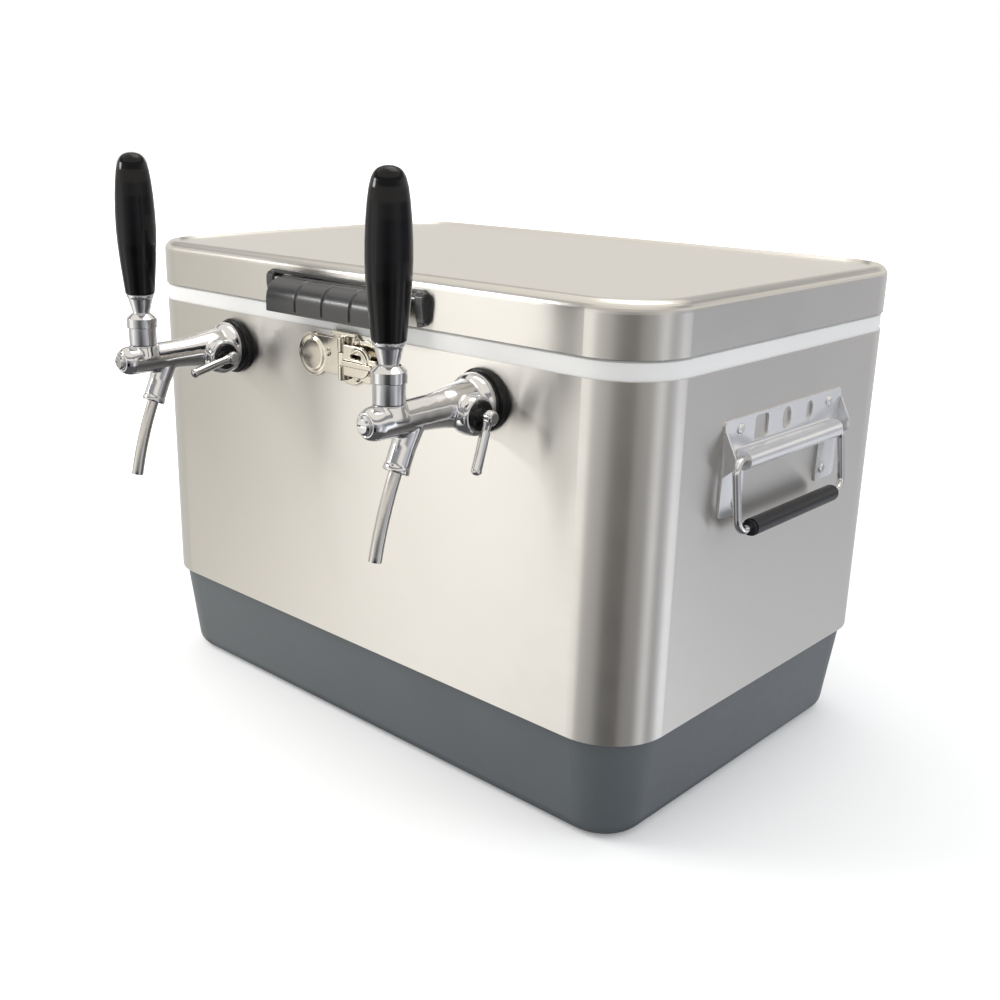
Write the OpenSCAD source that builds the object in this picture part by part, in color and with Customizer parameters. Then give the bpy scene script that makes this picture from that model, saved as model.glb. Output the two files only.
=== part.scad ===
// Two-tap jockey box: an insulated steel-belted cooler with draught taps on its front wall.
// Origin at the centre of the underside. X to the right along the front, -Y out of the front, Z up.
// All sizes in millimetres.

/* [Case] */
// width of the steel body
case_w = 600; // [592:612]
// depth of the steel body, front to back
case_d = 398; // [392:408]
// corner radius of the steel body
corner_r = 53; // [50:56]
// height of the plastic tub under the steel
tub_h = 92; // [88:98]
// height where the steel ends and the white collar starts
collar_z = 373; // [368:376]
// height of the joint between collar and lid
seam_z = 388; // [386:392]
// thickness of the insulated wall
wall = 38; // [36:42]
// height of the inside floor
floor_z = 46; // [42:52]
// corner radius of the ice space
liner_r = 40; // [34:46]
// how far the tub steps in under the steel
tub_step = 4.5; // [3:0.5:6]
// draft of the tub's sides, degrees
tub_draft = 7; // [5:8]
// radius of the tub's bottom edge
tub_edge_r = 15; // [10:18]

/* [Lid] */
// height of the lid above the joint
lid_h = 41; // [38:46]
// how far the lid oversails the body on each side
lid_over = 0.5; // [0.2:0.1:1]
// radius of the lid's upper edge
lid_edge_r = 9.5; // [7:11]
// width of the raised border round the lid panel
lid_border = 12; // [10:16]
// depth of the lid panel below its border
lid_sink = 2; // [1:0.5:2.5]

/* [Hinges] */
// distance from the middle to each hinge
hinge_x = 180; // [150:210]
// length of a hinge along the back
hinge_len = 70; // [60:80]
// radius of the hinge knuckles
hinge_r = 4.2; // [4:0.1:4.5]

/* [Lid latch] */
// half length of the latch frame
latch_half = 97; // [90:105]
// how far the latch handle stands out from the lid
latch_out = 27; // [25:30]
// distance between the finger grooves
groove_gap = 34; // [30:36]

/* [Taps] */
// distance from the middle to each tap
tap_x = 155; // [140:165]
// height of the tap axis
tap_z = 342; // [338:345]
// distance from the wall to the lever axis
lever_out = 98; // [94:102]
// distance from the wall to the flow control axis
flow_out = 29; // [28:32]
// swing of the right flow lever forward of straight down, degrees
flow_rest_r = 17; // [10:40]
// swing of the left flow lever forward of straight down, degrees
flow_rest_l = 77; // [50:85]
// length of the black handle
handle_len = 117; // [100:130]

/* [Carrying handles] */
// width of a handle plate
plate_w = 184; // [170:200]
// height of a handle plate's top edge
plate_top = 333; // [325:340]
// swing of the hanging bail away from the wall, degrees
bail_rest = 7; // [4:12]

/* [Cooling coils] */
// distance from the middle to each coil axis
coil_x = 130; // [122:134]
// full turns of a coil
coil_turns = 11; // [6:12]

/* [Hidden] */
$fn = 48;

steel_t = 0.8;
fit = 0.05;
gap = 0.3;
press = 0.02;

lid_w = case_w + 2 * lid_over;
lid_d = case_d + 2 * lid_over;
lid_r = corner_r + lid_over;
collar_top = seam_z - 0.6;
lid_bottom = seam_z + 0.2;
lid_top = seam_z + lid_h;
panel_top = lid_top - lid_sink;
panel_low = panel_top - steel_t;

liner_w = case_w - 2 * wall;
liner_d = case_d - 2 * wall;
liner_t = 2.5;
liner_taper = 8;
liner_draft = atan(liner_taper / (collar_top - floor_z));
liner_edge_r = 10;
mouth_lap = 18;
hem_in = 6;
lip_h = 14;
tub_t = 4;
lip_x = -hem_in - 1;
lip_in = lip_x - 2.4;
plug_gap = 3;
plug_low = lid_bottom - 12;

hinge_y = case_d / 2 + lid_over + hinge_r + 1;
hinge_z = seam_z;
hinge_leaf_t = 1.5;
hinge_pin_r = 2;
hinge_mid = 24;
leaf_drop = 26.5;
hinge_hole_gap = 25;
hinge_hole_up = 17;
screw_r = 1.6;

latch_pivot = [4.5, seam_z + 23];
latch_pin_r = 1.5;
latch_knuckle_r = 3.5;
latch_arc_r = 18;
latch_leg = 9.5;
latch_bar_z = latch_pivot[1] + latch_knuckle_r + 0.7;
latch_bar_h = 3.4;
latch_low = seam_z - 2;
latch_shell = 3;
latch_end = 76;
latch_nose = 73;

catch_z = 352;
catch_t = 2;
catch_knuckle_r = 3.5;
catch_axis = catch_t + gap + catch_knuckle_r;
catch_pin_r = 1.2;
catch_mid = 11.2;
catch_ear = 18 - catch_mid / 2 - gap;

shank_r = 9;
shank_bore = 4;
flange_r = 25;
flange_h = 9;
barrel_r = 12.5;
boss_r = 19.5;
chamber_r = 6.1;
piston_r = 6;
plug_r = 7;
barb_r = 4.9;
nut_in = wall + 1.6;
nut_h = 6.5;
union_h = 10.5;
shank_end = 3.5;
shank_in = nut_in + nut_h + 0.5 + shank_end;
barb_in = nut_in + nut_h + 0.5 + union_h;
barb_len = 16;
body_front = 121;

pivot_up = 19.5;
ball_r = 5.5;
foot_r = 3.4;
stem_r = 2.4;
collar_r = 13;
dome_r = 15;
bonnet_r = 11.8;
bonnet_foot = barrel_r + gap;
cup_low = pivot_up + 8;
cup_high = pivot_up + 16;
neck_top = pivot_up + 20;
stud_r = 4;
ferrule_h = 16.5;
flow_drop = 3.5;
flow_barrel_r = 13;
flow_end = 23;
flow_gland_r = 11.5;
flow_gland_h = 3.3;
flow_hub = flow_end + flow_gland_h + gap;
flow_arm_x = flow_hub + 4.9;
flow_arm_len = 43;
flow_arm_r = 3.9;
boss_tilt = 24;
boss_len = 43;
boss_start = lever_out - 23.5;
spout_r = 5;
spout_turn = 12;
spout_len = 66;
spout_bow = spout_len * 180 / (PI * spout_turn);
spout_seat = 2;

plate_t = 1.5;
plate_h = 77;
plate_low = plate_top - plate_h;
window_z = plate_top - 12;
sleeve_z = plate_top - 32;
sleeve_x = 8;
sleeve_r = 7.5;
bail_r = 3.3;
bail_half = 84;
bail_drop = 54;
bail_bend = 10;
sleeve_half = bail_half - bail_bend - gap;
grip_r = 7;
leg_in = 60;
handle_screw_y = 70;
handle_screw_r = 2.4;
handle_screw_z = [plate_top - 9.5, plate_low + 10];

drain_z = 60;
drain_r = 9;
drain_pad = 4;
drain_pad_r = 19;
drain_in = 13;
drain_out = 20;
foot_edge = 60;
foot_w = 20;

tube_r = 4.75;
hose_r = 7.5;
hose_bore = tube_r + 0.2;
coil_pitch = 14;
coil_low = floor_z + 12;
riser_top = 262;
riser_low = 246;
inlet_gap = 12;
hose_bend = 20;
hose_end = case_d / 2 - barb_in - barb_len - 2;
tap_side = tap_x - coil_x;
coil_r = min(norm([hose_end - hose_bend, tap_side]) - inlet_gap,
    case_w / 2 - wall - drain_in - tube_r - 5 - coil_x);
function hundredth(v) = round(v * 100) / 100;
coil_out_y = hundredth(sqrt(coil_r * coil_r - tap_side * tap_side));
coil_in_y = hundredth(sqrt(pow(coil_r + inlet_gap, 2) - tap_side * tap_side));
tap_bend = hose_end - coil_out_y;
inlet_bend = hose_end - coil_in_y;

function turn(a) = [cos(a), sin(a)];
function arc(c, r, a0, a1, n) = [for (i = [0:n]) c + r * turn(a0 + (a1 - a0) * i / n)];

// tub outline: x of the drafted side's lower tangent point, then the bottom arc's centre
tub_tan_x = -tub_step - (tub_h - tub_edge_r * (1 - sin(tub_draft))) * tan(tub_draft);
tub_arc = [tub_tan_x - tub_edge_r * cos(tub_draft), tub_edge_r];
function tub_out() = concat([[-tub_step, tub_h]], arc(tub_arc, tub_edge_r, -tub_draft, -90, 10));
function tub_in() = concat(arc(tub_arc, tub_edge_r - tub_t, -90, -tub_draft, 10),
    [[-tub_step - tub_t / cos(tub_draft) - 6 * tan(tub_draft), tub_h - 6], [lip_in, tub_h]]);

// liner outline at a distance out from its inner face
liner_arc = [-liner_taper - liner_edge_r + 0.25, floor_z + liner_edge_r];
function liner_side(out) = concat([[out, collar_top - liner_t]],
    arc(liner_arc, liner_edge_r + out, -liner_draft, -90, 8));

// a closed 2-D section carried round a rounded rectangle; x = 0 is the rectangle's own edge
module round_rect_sweep(w, d, r) {
    for (k = [0, 1]) {
        rotate([0, 0, 180 * k]) translate([w / 2, 0, 0]) rotate([90, 0, 0])
            linear_extrude(d - 2 * r, center = true) children();
        rotate([0, 0, 180 * k + 90]) translate([d / 2, 0, 0]) rotate([90, 0, 0])
            linear_extrude(w - 2 * r, center = true) children();
        rotate([0, 0, 180 * k]) translate([w / 2 - r, d / 2 - r, 0])
            rotate_extrude(angle = 90) translate([r, 0]) children();
        rotate([0, 0, 180 * k]) translate([-w / 2 + r, d / 2 - r, 0])
            rotate([0, 0, 90]) rotate_extrude(angle = 90) translate([r, 0]) children();
    }
}

module middle(w, d, r, z0, z1) {
    translate([-w / 2 + r, -d / 2 + r, z0]) cube([w - 2 * r, d - 2 * r, z1 - z0]);
}

module round_slot(w, h, r) {
    square([w - 2 * r, h], center = true);
    square([w, h - 2 * r], center = true);
    for (x = [-1, 1], y = [-1, 1]) translate([x * (w / 2 - r), y * (h / 2 - r)]) circle(r);
}

// local frame of a tap: x right, y up, z straight out of the front wall
module on_front(x, z) {
    translate([x, -case_d / 2, z]) rotate([90, 0, 0]) children();
}

// the same on the back wall
module on_back(x, z) {
    rotate([0, 0, 180]) on_front(-x, z) children();
}

// section drawn as (outward, height) on the lid's front face, carried along X
module along_lid(x0, x1) {
    translate([x1, -lid_d / 2, 0]) rotate([90, 0, -90]) linear_extrude(x1 - x0) children();
}

// local frame of a side handle: x straight out of the end wall
module on_side(s) {
    rotate([0, 0, s > 0 ? 0 : 180]) translate([case_w / 2, 0, 0]) children();
}

module each_handle_screw() {
    for (s = [1, -1], y = [-1, 1], z = handle_screw_z)
        on_side(s) translate([0, y * handle_screw_y, z]) rotate([0, 90, 0]) children();
}

module each_hinge_screw(up) {
    face = case_d / 2 + (up > 0 ? lid_over : 0);
    for (x = [-1, 1], k = [-1, 0, 1])
        translate([x * hinge_x + k * hinge_hole_gap, face, hinge_z + up * (hinge_r + hinge_hole_up)])
            rotate([-90, 0, 0]) children();
}

module each_catch_rivet() {
    for (p = [[-22, 2], [15, -15], [15, 15]]) on_front(p[0], catch_z + p[1]) children();
}

module shank_holes(r, depth) {
    for (x = [-1, 1]) {
        on_front(x * tap_x, tap_z) translate([0, 0, -depth]) cylinder(h = depth + 2, r = r);
        on_back(x * tap_x, tap_z) translate([0, 0, -depth]) cylinder(h = depth + 2, r = r);
    }
}

module body_screw_holes(depth) {
    each_handle_screw() translate([0, 0, -depth]) cylinder(h = depth + 2, r = handle_screw_r + press);
    each_hinge_screw(-1) translate([0, 0, -depth]) cylinder(h = depth + 2, r = screw_r + press);
    each_catch_rivet() translate([0, 0, -depth]) cylinder(h = depth + 2, r = screw_r + press);
}

module drain_hole(r) {
    translate([-case_w / 2 - drain_out, 0, drain_z]) rotate([0, 90, 0])
        cylinder(h = wall + 3 * drain_out, r = r);
}

module drain_boss(grow) {
    translate([-case_w / 2 + drain_pad - grow, 0, drain_z]) rotate([0, 90, 0])
        cylinder(h = 8 + 2 * grow, r = drain_pad_r + grow);
}

// ---- case ----
module base_tub() {
    color("#4d5459") difference() {
        union() {
            round_rect_sweep(case_w, case_d, corner_r)
                polygon(concat(tub_out(), [[-corner_r, 0], [-corner_r, tub_t]], tub_in(),
                    [[lip_in, tub_h + lip_h], [lip_x, tub_h + lip_h], [lip_x, tub_h]]));
            middle(case_w, case_d, corner_r, 0, tub_t);
            drain_boss(0);
        }
        translate([0, 0, -1]) linear_extrude(2.5) difference() {
            round_slot(case_w - 2 * foot_edge, case_d - 2 * foot_edge, foot_w);
            round_slot(case_w - 2 * (foot_edge + foot_w), case_d - 2 * (foot_edge + foot_w), 12);
        }
        drain_hole(drain_r + 0.2);
    }
}

module outer_shell() {
    color("#c9c7c0") difference() {
        round_rect_sweep(case_w, case_d, corner_r)
            polygon([[0, tub_h], [0, collar_z], [-hem_in, collar_z], [-hem_in, collar_z - steel_t],
                [-steel_t, collar_z - steel_t], [-steel_t, tub_h + steel_t], [-hem_in, tub_h + steel_t],
                [-hem_in, tub_h]]);
        shank_holes(shank_r + 0.2, 4);
        body_screw_holes(4);
    }
}

module inner_liner() {
    color("#f2f3ee") difference() {
        union() {
            round_rect_sweep(case_w, case_d, corner_r)
                polygon([[-0.9, collar_z], [-0.9, collar_top - 1.4], [-2.3, collar_top],
                    [-wall + 4, collar_top], [-wall + 4, collar_top - liner_t],
                    [-hem_in - 0.5, collar_top - liner_t], [-hem_in - 0.5, collar_z]]);
            round_rect_sweep(liner_w, liner_d, liner_r)
                polygon(concat([[mouth_lap, collar_top], [1.5, collar_top], [0, collar_top - 1.5]],
                    arc(liner_arc, liner_edge_r, -liner_draft, -90, 8),
                    [[-liner_r, floor_z], [-liner_r, floor_z - liner_t]],
                    arc(liner_arc, liner_edge_r + liner_t, -90, -liner_draft, 8),
                    [[liner_t, collar_top - liner_t], [mouth_lap, collar_top - liner_t]]));
            middle(liner_w, liner_d, liner_r, floor_z - liner_t, floor_z);
        }
        shank_holes(shank_r + 0.2, wall + 20);
        drain_hole(drain_r + 0.2);
    }
}

module case_foam() {
    color("#e8dcae") difference() {
        union() {
            round_rect_sweep(case_w, case_d, corner_r)
                polygon(concat([[-corner_r, collar_top - liner_t], [-hem_in - 0.5, collar_top - liner_t],
                    [-hem_in - 0.5, collar_z - steel_t], [-steel_t, collar_z - steel_t],
                    [-steel_t, tub_h + lip_h + gap], [lip_in - gap, tub_h + lip_h + gap],
                    [lip_in - gap, tub_h]],
                    arc(tub_arc, tub_edge_r - tub_t, -tub_draft, -90, 10), [[-corner_r, tub_t]]));
            middle(case_w, case_d, corner_r, tub_t, collar_top - liner_t);
        }
        round_rect_sweep(liner_w, liner_d, liner_r)
            polygon(concat([[-liner_r, collar_top]], [[liner_t, collar_top]], liner_side(liner_t),
                [[-liner_r, floor_z - liner_t]]));
        middle(liner_w, liner_d, liner_r, floor_z - liner_t, collar_top);
        shank_holes(shank_r + 0.2, wall + 20);
        body_screw_holes(14);
        drain_hole(drain_r + 0.2);
        drain_boss(gap);
    }
}

// ---- lid ----
module lid_shell() {
    color("#cfcdc6") difference() {
        union() {
            round_rect_sweep(lid_w, lid_d, lid_r)
                polygon(concat([[0, lid_bottom]],
                    arc([-lid_edge_r, lid_top - lid_edge_r], lid_edge_r, 0, 90, 8),
                    [[-lid_border, lid_top], [-lid_border - lid_sink, panel_top], [-lid_r, panel_top],
                    [-lid_r, panel_low], [-lid_border - lid_sink - 0.4, panel_low],
                    [-lid_border - 0.4, lid_top - steel_t]],
                    arc([-lid_edge_r, lid_top - lid_edge_r], lid_edge_r - steel_t, 90, 0, 8),
                    [[-steel_t, lid_bottom + steel_t], [-4.5, lid_bottom + steel_t],
                    [-4.5, lid_bottom]]));
            middle(lid_w, lid_d, lid_r, panel_low, panel_top);
        }
        each_hinge_screw(1) translate([0, 0, -4]) cylinder(h = 6, r = screw_r + press);
    }
}

module lid_liner() {
    color("#f2f3ee") union() {
        round_rect_sweep(lid_w, lid_d, lid_r)
            polygon([[-4.9, lid_bottom], [-4.9, lid_bottom + liner_t], [-wall + 4, lid_bottom + liner_t],
                [-wall + 4, lid_bottom]]);
        round_rect_sweep(liner_w - 2 * plug_gap, liner_d - 2 * plug_gap, liner_r - plug_gap)
            polygon([[mouth_lap, lid_bottom], [mouth_lap, lid_bottom + liner_t],
                [-liner_t, lid_bottom + liner_t], [-liner_t - 1, plug_low + liner_t],
                [plug_gap - liner_r, plug_low + liner_t], [plug_gap - liner_r, plug_low],
                [-3, plug_low], [-1, plug_low + 2], [0, lid_bottom]]);
        middle(liner_w, liner_d, liner_r, plug_low, plug_low + liner_t);
    }
}

module lid_foam() {
    color("#e8dcae") difference() {
        union() {
            round_rect_sweep(lid_w, lid_d, lid_r)
                polygon(concat([[-lid_r, lid_bottom + liner_t], [-steel_t - 0.1, lid_bottom + liner_t]],
                    arc([-lid_edge_r, lid_top - lid_edge_r], lid_edge_r - steel_t - 0.1, 0, 90, 8),
                    [[-lid_border + 0.1, lid_top - steel_t - 0.1],
                    [-lid_border - lid_sink + 0.1, panel_low - 0.1], [-lid_r, panel_low - 0.1]]));
            middle(lid_w, lid_d, lid_r, lid_bottom + liner_t, panel_low - 0.1);
            middle(liner_w, liner_d, liner_r, plug_low + liner_t, lid_bottom + liner_t + 1);
        }
        each_hinge_screw(1) translate([0, 0, -14]) cylinder(h = 16, r = screw_r + press);
    }
}

// ---- hinges ----
module knuckle(x0, x1, r) {
    translate([x0, hinge_y, hinge_z]) rotate([0, 90, 0]) cylinder(h = x1 - x0, r = r);
}

module hinge_leaf(up) {
    face = case_d / 2 + (up > 0 ? lid_over : 0);
    root = hinge_y - face;
    reach = hinge_r + 0.4;
    half = hinge_len / 2;
    mid = hinge_mid / 2;
    spans = up > 0 ? [[-mid, mid]] : [[-half, -mid - 0.4], [mid + 0.4, half]];
    difference() {
        union() {
            translate([0, face, hinge_z + up * (reach + (leaf_drop - reach) / 2)]) rotate([-90, 0, 0])
                linear_extrude(hinge_leaf_t) round_slot(hinge_len, leaf_drop - reach, 3);
            for (s = spans) {
                knuckle(s[0], s[1], hinge_r);
                translate([s[0], face, up > 0 ? hinge_z : hinge_z - hinge_r])
                    cube([s[1] - s[0], root, hinge_r]);
                translate([s[0], face, up > 0 ? hinge_z + 1 : hinge_z - 10])
                    cube([s[1] - s[0], hinge_leaf_t, 9]);
            }
        }
        knuckle(-half - 1, half + 1, hinge_pin_r + fit);
        for (k = [-1, 0, 1])
            translate([k * hinge_hole_gap, face - 1, hinge_z + up * (hinge_r + hinge_hole_up)])
                rotate([-90, 0, 0]) cylinder(h = 4, r = screw_r + press);
    }
}

module hinge_body_leaves() {
    color("#c4c4c2") for (x = [-1, 1]) translate([x * hinge_x, 0, 0]) hinge_leaf(-1);
}

module hinge_lid_leaves() {
    color("#c4c4c2") for (x = [-1, 1]) translate([x * hinge_x, 0, 0]) hinge_leaf(1);
}

module hinge_pins() {
    color("#b4b4b2") for (x = [-1, 1]) translate([x * hinge_x, 0, 0]) {
        knuckle(-hinge_len / 2, hinge_len / 2, hinge_pin_r);
        knuckle(-hinge_len / 2 - 1.2, -hinge_len / 2, hinge_pin_r + 0.9);
        knuckle(hinge_len / 2, hinge_len / 2 + 1.2, hinge_pin_r + 0.9);
    }
}

module pan_screw(t, head_r, shank, depth) {
    translate([0, 0, t]) cylinder(h = 0.8, r = head_r);
    translate([0, 0, t + 0.8]) cylinder(h = 1.1, r1 = head_r, r2 = head_r * 0.55);
    translate([0, 0, -depth]) cylinder(h = depth + t + 0.4, r = shank);
}

module hinge_body_screws() {
    color("#b4b4b2") each_hinge_screw(-1) pan_screw(hinge_leaf_t, 3.2, screw_r, 12);
}

module hinge_lid_screws() {
    color("#b4b4b2") each_hinge_screw(1) pan_screw(hinge_leaf_t, 3.2, screw_r, 12);
}

// ---- lid latch ----
module latch_arch(r) {
    difference() {
        translate([0, (latch_bar_z + latch_bar_h + seam_z + 1) / 2])
            round_slot(2 * latch_half, latch_bar_z + latch_bar_h - seam_z - 1, r);
        translate([0, (latch_bar_z + seam_z - 10) / 2])
            square([2 * (latch_half - latch_leg), latch_bar_z - seam_z + 10], center = true);
    }
}

module latch_frame() {
    color("#3c3e40") difference() {
        union() {
            translate([0, -lid_d / 2, 0]) rotate([90, 0, 0]) linear_extrude(4.5) latch_arch(7);
            for (s = [-1, 1]) along_lid(min(s * latch_half, s * (latch_half - latch_leg)),
                max(s * latch_half, s * (latch_half - latch_leg)))
                polygon([[0, seam_z + 3], [5.4, seam_z + 5], [7.4, latch_pivot[1] - 4],
                    [7.2, latch_pivot[1] + 2], [5, latch_pivot[1] + 5], [0, latch_pivot[1] + 5]]);
        }
        along_lid(-latch_half + 2, latch_half - 2) translate(latch_pivot) circle(latch_pin_r + press);
    }
}

latch_arc_c = [latch_out - latch_arc_r, seam_z + 25.5 - latch_arc_r];
function latch_skin(inset) = concat([[latch_pivot[0], latch_pivot[1] + latch_knuckle_r - inset],
    [latch_pivot[0] + latch_knuckle_r * 0.8, latch_pivot[1] + latch_knuckle_r * 0.6 - inset]],
    arc(latch_arc_c, latch_arc_r - inset, 90, 0, 12),
    [[latch_out - inset, latch_low]]);

module latch_plan(inset) {
    slant = (latch_end - latch_nose) / (latch_out - 5);
    wide = latch_end - inset;
    near = wide - slant * latch_out;
    translate([0, -lid_d / 2, seam_z - 20]) linear_extrude(60)
        polygon([[-wide, 0], [-wide, -5], [-near, -5 - latch_out], [near, -5 - latch_out],
            [wide, -5], [wide, 0]]);
}

module latch_handle() {
    color("#3c3e40") difference() {
        union() {
            intersection() {
                along_lid(-latch_end, latch_end) union() {
                    polygon(concat(latch_skin(0), [[latch_out - latch_shell, latch_low]],
                        [[6, latch_low + 7], [3, latch_pivot[1] - 4]]));
                    translate(latch_pivot) circle(latch_knuckle_r);
                }
                latch_plan(0);
            }
            along_lid(-16, 16)
                polygon([[6, latch_low - 3], [9, latch_low - 3], [9, latch_low + 12],
                    [6, latch_low + 10]]);
        }
        difference() {
            intersection() {
                along_lid(-latch_end, latch_end)
                    polygon(concat([[latch_arc_c[0] - 1, latch_arc_c[1] + latch_arc_r - latch_shell]],
                        arc(latch_arc_c, latch_arc_r - latch_shell, 90, 0, 12),
                        [[latch_out - latch_shell, latch_low - 1], [9, latch_low - 1],
                        [9, latch_arc_c[1] + 8]]));
                latch_plan(latch_shell);
            }
            for (x = [-16, 13]) along_lid(x, x + 3) translate([0, latch_low]) square([latch_out, 40]);
        }
        along_lid(-latch_end - 1, latch_end + 1) translate(latch_pivot) circle(latch_pin_r + fit);
        for (k = [-1, 0, 1]) along_lid(k * groove_gap - 1.1, k * groove_gap + 1.1) difference() {
            polygon(concat([[latch_arc_c[0] - 2, latch_arc_c[1] + latch_arc_r + 2]],
                arc(latch_arc_c, latch_arc_r + 2, 90, 0, 12),
                [[latch_out + 2, latch_low + 2], [5, latch_low + 2]]));
            polygon(concat([[latch_arc_c[0] - 3, latch_arc_c[1] + latch_arc_r - 1.6]],
                arc(latch_arc_c, latch_arc_r - 1.6, 90, 0, 12),
                [[latch_out - 1.6, latch_low], [4, latch_low]]));
        }
    }
}

module latch_pin() {
    color("#b4b4b2") along_lid(-latch_half + 2.2, latch_half - 2.2)
        translate(latch_pivot) circle(latch_pin_r);
}

// ---- catch fitting under the latch ----
module catch_barrel(z0, z1, r) {
    translate([0, -case_d / 2 - catch_axis, z0]) cylinder(h = z1 - z0, r = r);
}

module catch_base() {
    color("#cdbf9f") difference() {
        union() {
            on_front(0, catch_z) linear_extrude(catch_t) union() {
                translate([-42, -2]) circle(19);
                translate([-22, 0]) square([40, 32], center = true);
                translate([6, 0]) circle(22);
                translate([26, 0]) circle(18);
                translate([0, 11]) square([30, 22], center = true);
            }
            on_front(-42, catch_z - 2) translate([0, 0, catch_t - 0.1]) cylinder(h = 1.3, r1 = 16, r2 = 13);
            for (low = [catch_z - 18, catch_z + catch_mid / 2 + gap]) {
                catch_barrel(low, low + catch_ear, catch_knuckle_r);
                translate([-catch_knuckle_r, -case_d / 2 - catch_axis, low])
                    cube([2 * catch_knuckle_r, catch_axis, catch_ear]);
            }
            translate([-15, -case_d / 2 - 4.5, catch_z + 19]) cube([30, 4.5, 3.2]);
        }
        catch_barrel(catch_z - 20, catch_z + 18.5, catch_pin_r + press);
        each_catch_rivet() translate([0, 0, -1]) cylinder(h = 6, r = screw_r + press);
    }
}

module catch_lever() {
    color("#cdbf9f") difference() {
        union() {
            catch_barrel(catch_z - catch_mid / 2, catch_z + catch_mid / 2, catch_knuckle_r);
            on_front(0, catch_z) {
                translate([0, 0, catch_axis + 0.6]) linear_extrude(2.4)
                    translate([5, 0]) square([12, catch_mid], center = true);
                translate([0, 0, catch_axis + 0.6]) linear_extrude(2.4) union() {
                    translate([4.4, -13]) square([20, 26]);
                    translate([24.4, 0]) circle(13);
                    translate([30, -5]) square([14, 9]);
                    translate([41, -0.5]) circle(4.5);
                }
                translate([0, 0, catch_axis + 2.9]) linear_extrude(2.2) union() {
                    translate([5, -4.5]) square([34, 4.5]);
                    translate([39, -2.25]) circle(2.25);
                }
                translate([24, 0, catch_axis + 2.9]) rotate([0, 0, -20]) rotate_extrude(angle = 150)
                    translate([9, 0]) square([2.4, 1.6]);
            }
        }
        catch_barrel(catch_z - 20, catch_z + 20, catch_pin_r + fit);
        on_front(20, catch_z + 4.2) translate([0, 0, catch_axis])
            linear_extrude(8) round_slot(13, 3.4, 1.6);
    }
}

module catch_pin() {
    color("#b4b4b2") catch_barrel(catch_z - 18.6, catch_z + 18.4, catch_pin_r);
}

module catch_rivets() {
    color("#cdbf9f") each_catch_rivet() {
        translate([0, 0, -8]) cylinder(h = 8 + catch_t, r = screw_r);
        translate([0, 0, catch_t]) cylinder(h = 0.5, r = 3.4);
        translate([0, 0, catch_t + 0.5]) cylinder(h = 0.9, r1 = 3.4, r2 = 1.8);
    }
}

// ---- taps ----
module tap_shanks() {
    color("#d5d7da") for (x = [-1, 1]) on_front(x * tap_x, tap_z) difference() {
        translate([0, 0, -shank_in]) cylinder(h = shank_in + flange_h + 10, r = shank_r);
        translate([0, 0, -shank_in - 1]) cylinder(h = shank_in + flange_h + 12, r = shank_bore);
    }
}

module wall_flanges() {
    color("#141415") for (x = [-1, 1]) on_front(x * tap_x, tap_z) rotate_extrude()
        polygon([[shank_r + 0.2, 0], [flange_r - 0.4, 0], [flange_r, 1], [flange_r, 3.4],
            [flange_r - 0.4, 4.6], [flange_r - 1.4, 5.6], [flange_r - 2.4, 6], [flange_r - 2.7, 5.6],
            [flange_r - 3.3, 5.6], [flange_r - 3.6, 7], [flange_r - 4.5, 8.2], [flange_r - 6, flange_h],
            [shank_r + 0.2, flange_h]]);
}

module hex_nut(z0, h, flats, bore) {
    translate([0, 0, z0]) difference() {
        cylinder(h = h, r = flats / 2 / cos(30), $fn = 6);
        translate([0, 0, -1]) cylinder(h = h + 2, r = bore);
    }
}

module shank_nuts() {
    color("#d0c9b0") for (x = [-1, 1]) {
        on_front(x * tap_x, tap_z) hex_nut(-nut_in - nut_h, nut_h, 27, shank_r + 0.1);
        on_back(x * tap_x, tap_z) hex_nut(-nut_in - nut_h, nut_h, 27, shank_r + 0.1);
    }
}

module barb(z0) {
    difference() {
        union() {
            translate([0, 0, z0 - union_h]) cylinder(h = union_h, r = 12 / cos(30), $fn = 6);
            translate([0, 0, z0 - union_h - barb_len]) cylinder(h = barb_len + 0.1, r = barb_r - 0.5);
            for (k = [0:2]) translate([0, 0, z0 - union_h - barb_len + k * 5])
                cylinder(h = 3.6, r1 = barb_r - 0.5, r2 = barb_r);
        }
        translate([0, 0, z0 - shank_end - 0.5]) cylinder(h = shank_end + 1.5, r = shank_r + 0.1);
        translate([0, 0, z0 - union_h - barb_len - 1]) cylinder(h = barb_len + union_h + 2, r = 3);
    }
}

module tail_barbs() {
    color("#d0c9b0") for (x = [-1, 1]) {
        on_front(x * tap_x, tap_z) barb(-nut_in - nut_h - 0.5);
        on_back(x * tap_x, tap_z) barb(-nut_in - nut_h - 0.5);
    }
}

module front_plugs() {
    color("#d5d7da") for (x = [-1, 1]) on_front(x * tap_x, tap_z) difference() {
        union() {
            translate([0, 0, body_front - 6.8]) cylinder(h = 6.8, r = plug_r);
            translate([0, 0, body_front]) cylinder(h = 1.6, r = plug_r - 0.3);
            translate([0, 0, body_front + 1.6]) cylinder(h = 1.4, r1 = plug_r - 0.3, r2 = plug_r - 2.2);
        }
        translate([0, 0, body_front + 2.6]) cube([9, 1.4, 2], center = true);
    }
}

function barrel_line() = [[boss_r - 1.2, flange_h], [boss_r, flange_h + 1.2], [boss_r, flange_h + 3.5],
    [boss_r - 0.9, flange_h + 9], [barrel_r + 4.5, 30], [barrel_r + 3, 40], [barrel_r + 1.7, 48],
    [barrel_r + 0.7, 59], [barrel_r + 0.1, 72], [barrel_r, 84], [barrel_r, body_front - 9],
    [barrel_r - 0.5, body_front - 5.4], [barrel_r - 1.7, body_front - 2.4], [barrel_r - 3.6, body_front]];

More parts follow.
